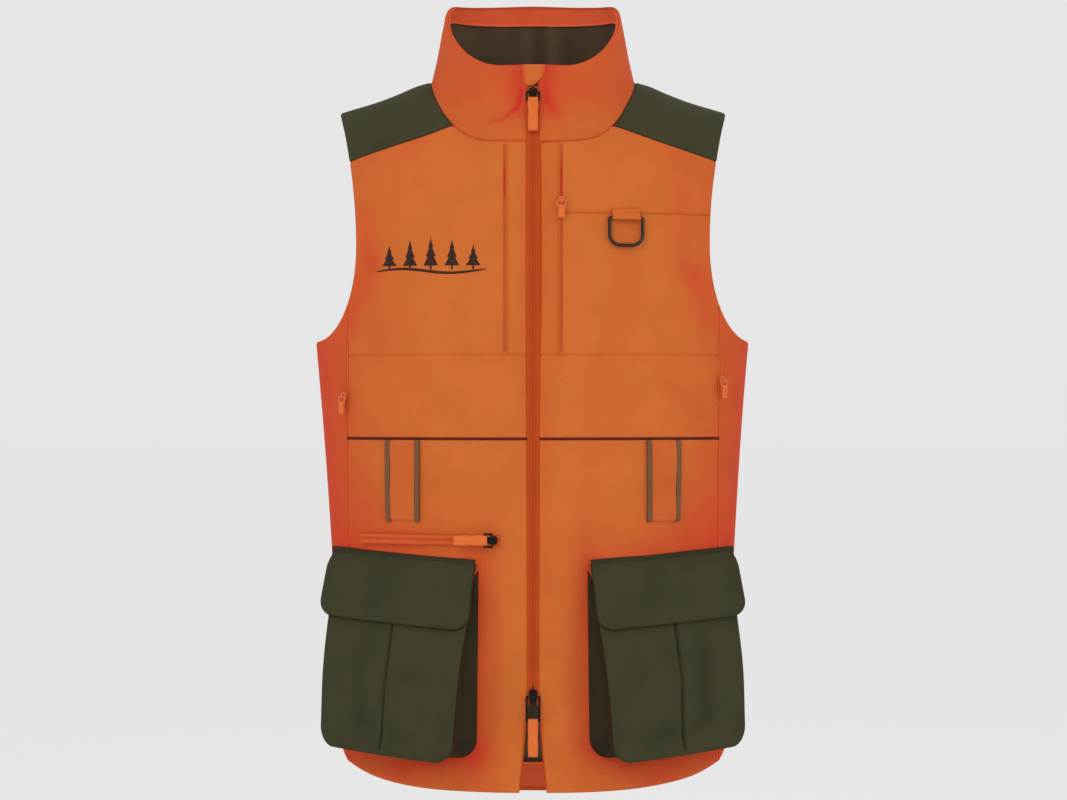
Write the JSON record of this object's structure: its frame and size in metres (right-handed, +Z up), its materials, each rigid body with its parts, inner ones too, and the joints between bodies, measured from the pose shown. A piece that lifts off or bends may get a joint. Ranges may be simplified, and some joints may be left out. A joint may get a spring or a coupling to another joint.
{
  "type": "hunting vest",
  "caption": "Blaze orange sleeveless field vest with stand collar, two-way front zip, olive shoulder yokes, flapped bellows cargo pockets, zipped pockets and a D-ring.",
  "frame": {"origin": "middle of the neck opening, level with the inner ends of the shoulders, where a body or a hanger bears", "axes": "+Z up, -Y out of the front, +X towards the wearer's left"},
  "size_m": [0.4478, 0.288, 0.8293],
  "materials": {
    "orange_cloth": "matt woven blaze orange shell cloth",
    "olive_cloth": "matt dark olive woven cloth",
    "olive_lining": "dark olive-brown lining cloth",
    "zip_tape": "woven rust orange zip tape",
    "zip_chain": "rust orange coil zip",
    "dark_piping": "dark brown folded piping",
    "binding": "olive-brown grosgrain binding",
    "black_metal": "gloss black paint on die-cast zip parts",
    "orange_metal": "satin orange paint on small die-cast zip parts",
    "gunmetal": "dark nickel plated wire"
  },
  "bodies": {
    "vest": {"chest_panel_right": "orange_cloth", "placket_right": "orange_cloth", "waist_band_right": "orange_cloth", "lower_front_right": "orange_cloth", "side_panel_right": "orange_cloth", "shoulder_yoke_right": "olive_cloth", "pocket_front_right": "olive_cloth", "pocket_gusset_right": "olive_cloth", "chest_panel_left": "orange_cloth", "placket_left": "orange_cloth", "waist_band_left": "orange_cloth", "lower_front_left": "orange_cloth", "side_panel_left": "orange_cloth", "shoulder_yoke_left": "olive_cloth", "pocket_front_left": "olive_cloth", "pocket_gusset_left": "olive_cloth", "back_panel": "orange_cloth", "back_yoke": "orange_cloth", "collar_outer": "orange_cloth", "collar_facing": "orange_cloth", "collar_lining": "olive_lining", "front_lining_right": "olive_lining", "front_lining_left": "olive_lining", "back_lining": "olive_lining", "back_hem_facing": "orange_cloth", "zip_tape_right": "zip_tape", "zip_tape_left": "zip_tape", "zip_chain": "zip_chain", "zip_garage": "orange_cloth", "webbing_strip_right": "orange_cloth", "strip_bindings_right": "binding", "webbing_strip_left": "orange_cloth", "strip_bindings_left": "binding", "piping": "dark_piping", "chest_zip_tapes": "zip_tape", "side_zip_tapes": "zip_tape", "d_ring_tab": "orange_cloth", "waist_zip_tape": "zip_tape"},
    "main_slider": {"main_zip_slider": "black_metal"},
    "main_pull": {"main_zip_bracket": "black_metal", "main_zip_tab": "orange_cloth"},
    "lower_slider": {"lower_zip_slider": "black_metal"},
    "lower_pull": {"lower_zip_bracket": "black_metal", "lower_zip_tab": "orange_cloth"},
    "chest_slider": {"chest_zip_slider": "orange_metal"},
    "chest_pull": {"chest_zip_bracket": "orange_metal", "chest_zip_tab": "orange_cloth"},
    "waist_slider": {"waist_zip_slider": "black_metal"},
    "waist_pull": {"waist_zip_bracket": "black_metal", "waist_zip_tab": "orange_cloth"},
    "side_slider_right": {"side_zip_right_slider": "orange_metal"},
    "side_pull_right": {"side_zip_right_bracket": "orange_metal", "side_zip_right_tab": "orange_cloth"},
    "side_slider_left": {"side_zip_left_slider": "orange_metal"},
    "side_pull_left": {"side_zip_left_bracket": "orange_metal", "side_zip_left_tab": "orange_cloth"},
    "d_ring": {"d_ring": "gunmetal"},
    "flap_right": {"pocket_flap_right": "olive_cloth"},
    "flap_left": {"pocket_flap_left": "olive_cloth"}
  },
  "joints": [
    {"name": "main_zip_travel", "type": "slide", "parent": "vest", "child": "main_slider", "axis": [0, -0.0278, -0.9996], "range_m": [0, 0.36]},
    {"name": "main_pull_swing", "type": "hinge", "parent": "main_slider", "child": "main_pull", "pos_m": [0, -0.11557, -0.02081], "axis": [-1, 0, 0], "range_deg": [0, 150]},
    {"name": "lower_zip_travel", "type": "slide", "parent": "vest", "child": "lower_slider", "axis": [0, 0.0278, 0.9996], "range_m": [0, 0.14]},
    {"name": "lower_pull_swing", "type": "hinge", "parent": "lower_slider", "child": "lower_pull", "pos_m": [0, -0.13216, -0.61781], "axis": [-1, 0, 0], "range_deg": [0, 120]},
    {"name": "chest_zip_travel", "type": "slide", "parent": "vest", "child": "chest_slider", "axis": [0, -0.0277, -0.9996], "range_m": [0, 0.13]},
    {"name": "chest_pull_swing", "type": "hinge", "parent": "chest_slider", "child": "chest_pull", "pos_m": [0.02829, -0.1194, -0.12777], "axis": [-0.9993, -0.0363, 0.0015], "range_deg": [0, 150]},
    {"name": "waist_zip_travel", "type": "hinge", "parent": "vest", "child": "waist_slider", "pos_m": [-0.01973, 0.12613, -0.464], "axis": [0, 0, -1], "range_deg": [0, 24]},
    {"name": "waist_pull_swing", "type": "hinge", "parent": "waist_slider", "child": "waist_pull", "pos_m": [-0.04061, -0.13066, -0.464], "axis": [0, 0, 1], "range_deg": [0, 120]},
    {"name": "side_zip_travel_right", "type": "slide", "parent": "vest", "child": "side_slider_right", "axis": [0.0025, -0.0499, 0.9987], "range_m": [0, 0.045]},
    {"name": "side_pull_swing_right", "type": "hinge", "parent": "side_slider_right", "child": "side_pull_right", "pos_m": [-0.19251, -0.07234, -0.32229], "axis": [-0.7328, 0.6793, 0.0391], "range_deg": [0, 150]},
    {"name": "side_zip_travel_left", "type": "slide", "parent": "vest", "child": "side_slider_left", "axis": [-0.0025, -0.0499, 0.9987], "range_m": [-0.018, 0.028]},
    {"name": "side_pull_swing_left", "type": "hinge", "parent": "side_slider_left", "child": "side_pull_left", "pos_m": [0.1924, -0.07322, -0.30629], "axis": [-0.7451, -0.6659, -0.0374], "range_deg": [0, 150]},
    {"name": "d_ring_swing", "type": "hinge", "parent": "vest", "child": "d_ring", "pos_m": [0.09253, -0.11039, -0.14535], "axis": [-0.9838, -0.1788, 0.0108], "range_deg": [0, 130]},
    {"name": "flap_hinge_right", "type": "hinge", "parent": "vest", "child": "flap_right", "pos_m": [-0.1325, -0.09287, -0.484], "axis": [-0.8672, 0.4946, 0.0576], "range_deg": [0, 75]},
    {"name": "flap_hinge_left", "type": "hinge", "parent": "vest", "child": "flap_left", "pos_m": [0.1325, -0.09287, -0.484], "axis": [-0.8672, -0.4946, -0.0576], "range_deg": [0, 75]}
  ]
}
